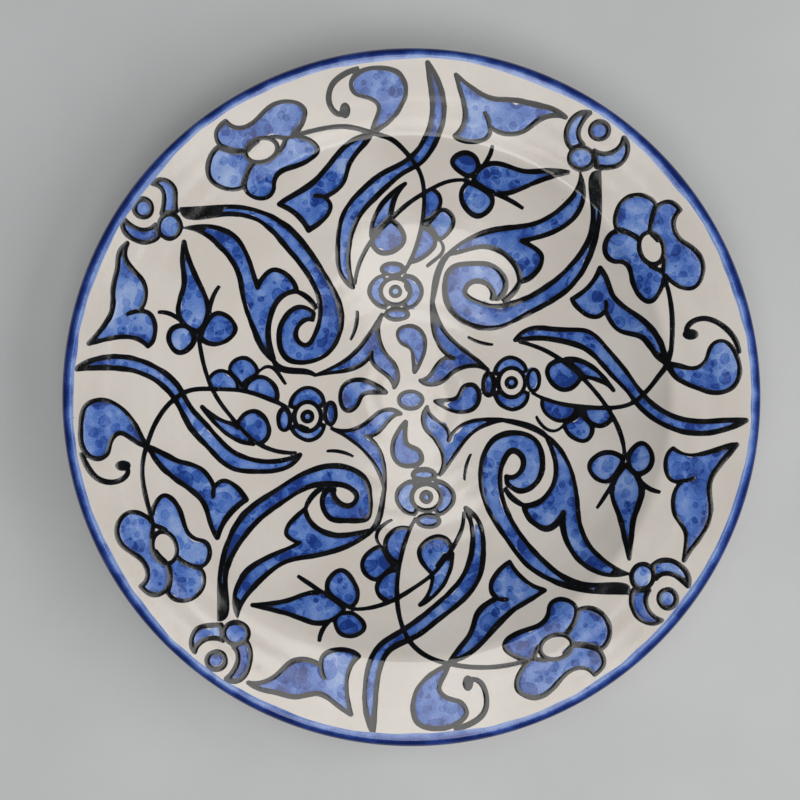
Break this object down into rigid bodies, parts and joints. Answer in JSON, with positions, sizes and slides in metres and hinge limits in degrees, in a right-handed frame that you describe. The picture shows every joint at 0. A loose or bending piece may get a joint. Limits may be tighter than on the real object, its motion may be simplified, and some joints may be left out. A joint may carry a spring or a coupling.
{
  "type": "decorative ceramic plate",
  "caption": "Deep glazed plate with a wide flange, a turned foot ring and a brushed blue floral scroll ornament repeated by quarter turns, for serving or for display.",
  "frame": {"origin": "centre of the plane the foot ring stands on", "axes": "+Z up along the plate's turning axis, out of the well; +X to the right and +Y up when the front is seen from above"},
  "size_m": [0.27, 0.27, 0.0418],
  "materials": {
    "bare_clay": "matt, unglazed",
    "white_glaze": "gloss",
    "cobalt_band": "gloss",
    "cobalt_wash": "gloss",
    "dark_line": "gloss"
  },
  "bodies": {
    "root": {"clay_body": "bare_clay", "front_glaze": "white_glaze", "back_glaze": "white_glaze", "foot_well_glaze": "white_glaze", "rim_band": "cobalt_band", "centre_drops": "cobalt_wash", "centre_forks": "cobalt_wash", "scroll_ribbons": "cobalt_wash", "palmette_leaves": "cobalt_wash", "rim_leaves": "cobalt_wash", "rim_buds": "cobalt_wash", "rim_flowers": "cobalt_wash", "wall_leaves": "cobalt_wash", "long_blades": "cobalt_wash", "comma_drops": "cobalt_wash", "trefoils": "cobalt_wash", "berries": "cobalt_wash", "curled_leaves": "cobalt_wash", "rosettes": "cobalt_wash", "centre_spot": "cobalt_wash", "stems": "dark_line", "comma_curls": "dark_line", "leaf_veins": "dark_line", "short_dashes": "dark_line", "scroll_stems": "dark_line", "rosette_rings": "dark_line", "flower_rings": "dark_line"}
  },
  "joints": []
}
